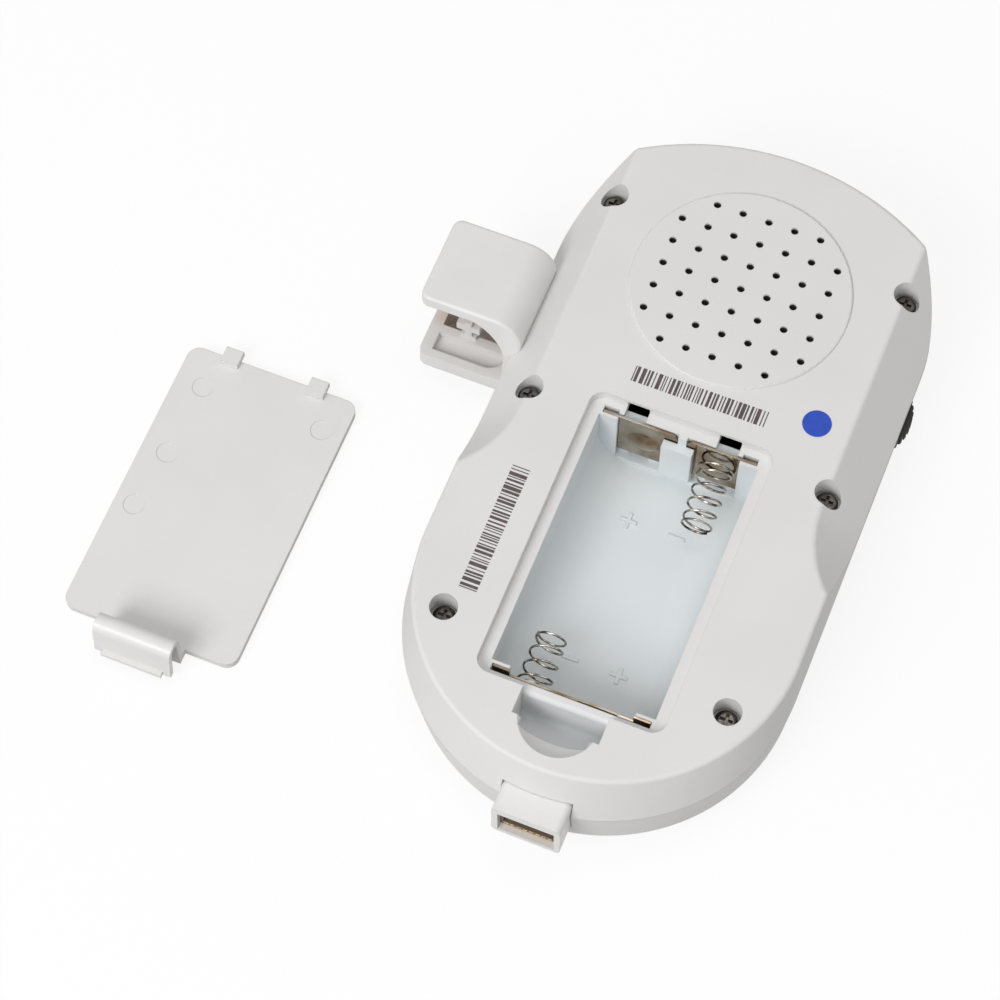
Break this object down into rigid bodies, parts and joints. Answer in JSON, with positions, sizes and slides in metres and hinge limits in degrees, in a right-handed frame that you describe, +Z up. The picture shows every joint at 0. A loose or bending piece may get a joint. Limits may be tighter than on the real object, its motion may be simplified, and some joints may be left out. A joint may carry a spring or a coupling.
{
  "type": "pocket fetal doppler monitor",
  "caption": "Pocket ultrasound heartbeat monitor lying face down with its battery door off, showing the speaker grille, battery bay and probe clip.",
  "frame": {"origin": "on the resting plane, under the middle of the case's straight sides", "axes": "+X to the right seen from the back, +Y towards the speaker end, +Z up out of the back face"},
  "size_m": [0.1315, 0.1363, 0.0264],
  "materials": {
    "case_plastic": "fine matt moulded ABS",
    "ivory_plastic": "satin moulded ABS, slightly warmer",
    "screw_steel": "dark zinc",
    "black_cloth": "woven dust cloth",
    "black_foam": "foam",
    "basket_steel": "plated sheet",
    "magnet_black": "ferrite",
    "cone_paper": "pressed paper pulp",
    "spring_steel": "bright nickel-plated strip and wire",
    "chip_black": "moulded epoxy",
    "gold_contact": "gold-plated",
    "black_rubber": "matt knurled",
    "overlay_blue": "printed film",
    "clear_window": "clear acrylic",
    "display_grey": "liquid crystal glass",
    "backlight_white": "light guide",
    "board_green": "solder mask over glass laminate",
    "lead_red": "insulation",
    "blue_label": "glossy film",
    "button_white": "satin moulded"
  },
  "bodies": {
    "monitor": {"rear_shell": "case_plastic", "front_shell": "case_plastic", "case_screws": "screw_steel", "speaker_cloth": "black_cloth", "speaker_gasket": "black_foam", "speaker_frame": "basket_steel", "speaker_magnet": "magnet_black", "speaker_cone": "cone_paper", "positive_contact": "spring_steel", "negative_contact": "spring_steel", "bridge_contact": "spring_steel", "upper_spring": "spring_steel", "lower_spring": "spring_steel", "probe_clip": "ivory_plastic", "probe_socket": "ivory_plastic", "socket_insert": "chip_black", "socket_blades": "gold_contact", "pot_body": "chip_black", "front_overlay": "overlay_blue", "display_window": "clear_window", "display_glass": "display_grey", "display_backlight": "backlight_white", "tact_switches": "chip_black", "main_board": "board_green", "board_parts": "chip_black", "board_screws": "screw_steel", "headphone_jack": "chip_black", "battery_leads": "lead_red", "speaker_leads": "lead_red", "blue_disc": "blue_label"},
    "door": {"battery_door": "case_plastic"},
    "latch": {"door_latch": "ivory_plastic"},
    "wheel": {"volume_wheel": "black_rubber", "pot_shaft": "basket_steel"},
    "mode": {"mode_button": "button_white"},
    "play": {"play_button": "button_white"},
    "record": {"record_button": "button_white"},
    "power": {"power_button": "button_white"}
  },
  "joints": [
    {"name": "door_turn", "type": "hinge", "parent": "monitor", "child": "door", "pos_m": [-0.03885, -0.0293, 0.013], "axis": [0, 1, 0], "range_deg": [0, 150]},
    {"name": "latch_flex", "type": "hinge", "parent": "door", "child": "latch", "pos_m": [-0.0777, -0.06115, 0.0081], "axis": [1, 0, 0], "range_deg": [0, 6], "stiffness_Nm_per_rad": 0.05, "springref_deg": -1.15},
    {"name": "wheel_turn", "type": "hinge", "parent": "monitor", "child": "wheel", "pos_m": [0.0282, 0.027, 0.014], "axis": [0, 0, 1], "range_deg": [-135, 135]},
    {"name": "mode_press", "type": "slide", "parent": "monitor", "child": "mode", "axis": [0, 0, 1], "range_m": [0, 0.0005], "stiffness_N_per_m": 300, "springref_m": -0.0008},
    {"name": "play_press", "type": "slide", "parent": "monitor", "child": "play", "axis": [0, 0, 1], "range_m": [0, 0.0005], "stiffness_N_per_m": 300, "springref_m": -0.0008},
    {"name": "record_press", "type": "slide", "parent": "monitor", "child": "record", "axis": [0, 0, 1], "range_m": [0, 0.0005], "stiffness_N_per_m": 300, "springref_m": -0.0008},
    {"name": "power_press", "type": "slide", "parent": "monitor", "child": "power", "axis": [0, 0, 1], "range_m": [0, 0.0005], "stiffness_N_per_m": 300, "springref_m": -0.0008}
  ]
}
